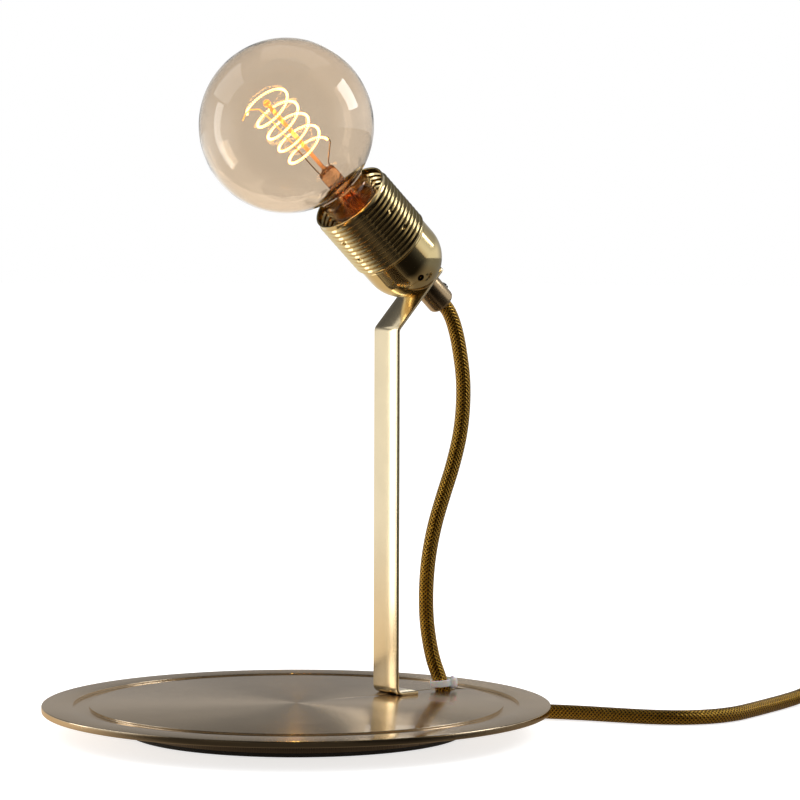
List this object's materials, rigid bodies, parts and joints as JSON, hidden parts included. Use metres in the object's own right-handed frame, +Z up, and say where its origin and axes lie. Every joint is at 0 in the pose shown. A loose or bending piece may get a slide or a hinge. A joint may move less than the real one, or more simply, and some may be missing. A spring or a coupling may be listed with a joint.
{
  "type": "table lamp",
  "caption": "Table lamp: bare amber globe bulb in a ridged metal lampholder, on a bent flat-strip stem over a round weighted base, with fabric cord, cord switch and plug.",
  "frame": {"origin": "middle of the underside of the base's felt pad, on the surface that the lamp stands on", "axes": "+Z up; the lampholder and bulb lean towards -Y over the base; the stem and the cord are on the +Y side"},
  "size_m": [0.2862, 0.576, 0.3261],
  "materials": {
    "base_brass": "circular brushed, satin lacquer",
    "weight_steel": "dark paint",
    "felt": "felt",
    "screw_steel": "zinc plated",
    "strip_brass": "satin",
    "holder_brass": "polished",
    "inner_brass": "drawn",
    "ceramic": "glazed",
    "grip_metal": "satin nickel tint",
    "grip_screw_metal": "polished",
    "cap_metal": "bright",
    "insulator": "black glass",
    "contact_metal": "tinned",
    "amber_glass": "amber tint, clear",
    "stem_glass": "clear, amber lit",
    "wire_metal": "drawn",
    "filament_glow": "glowing",
    "tie_nylon": "milky translucent",
    "cord_fabric": "gold braid",
    "wire_sleeve": "matt",
    "tie_wire": "matt",
    "black_plastic": "moulded"
  },
  "bodies": {
    "lamp": {"base_plate": "base_brass", "base_weight": "weight_steel", "base_pad": "felt", "weight_screws": "screw_steel", "stem_screws": "screw_steel", "stem_strip": "strip_brass", "lampholder_cup": "holder_brass", "lampholder_skirt": "holder_brass", "ceramic_insert": "ceramic", "screw_liner": "inner_brass", "centre_contact": "inner_brass", "terminal_blocks": "inner_brass", "terminal_screws": "screw_steel", "threaded_nipple": "inner_brass", "nipple_nut": "screw_steel", "earth_tag": "inner_brass", "cord_grip": "grip_metal", "grip_screw": "grip_screw_metal", "cord_end": "cord_fabric", "core_wires": "wire_sleeve", "cord_tie": "tie_nylon", "cord_riser": "cord_fabric", "cord_link": "cord_fabric", "cord_coil": "cord_fabric", "coil_tie": "tie_wire", "cord_tail": "cord_fabric", "switch_base": "black_plastic", "switch_cover": "black_plastic", "switch_pin": "screw_steel", "switch_screws": "screw_steel", "switch_terminals": "inner_brass", "plug_sleeve": "black_plastic", "plug_body": "black_plastic", "plug_pins": "contact_metal", "plug_earth_clips": "contact_metal"},
    "bulb_lifted": {"cap_contact": "contact_metal"},
    "bulb": {"bulb_globe": "amber_glass", "bulb_cap": "cap_metal", "cap_insulator": "insulator", "bulb_stem": "stem_glass", "bulb_wires": "wire_metal", "filament": "filament_glow"},
    "rocker": {"switch_rocker": "black_plastic"}
  },
  "joints": [
    {"name": "bulb_lift", "type": "slide", "parent": "lamp", "child": "bulb_lifted", "axis": [0, -0.7373, 0.6756], "range_m": [0, 0.01452]},
    {"name": "bulb_turn", "type": "hinge", "parent": "bulb_lifted", "child": "bulb", "pos_m": [0, 0.07301, 0.21255], "axis": [0, -0.7373, 0.6756], "range_deg": [0, 1440]},
    {"name": "switch_rock", "type": "hinge", "parent": "lamp", "child": "rocker", "pos_m": [0.05246, 0.33188, 0.017], "axis": [-0.9659, -0.2588, 0], "range_deg": [-14, 0]}
  ],
  "couplings": [
    {"joint": "bulb_lift", "follows": "bulb_turn", "m_per_rad": 0.00057773}
  ]
}
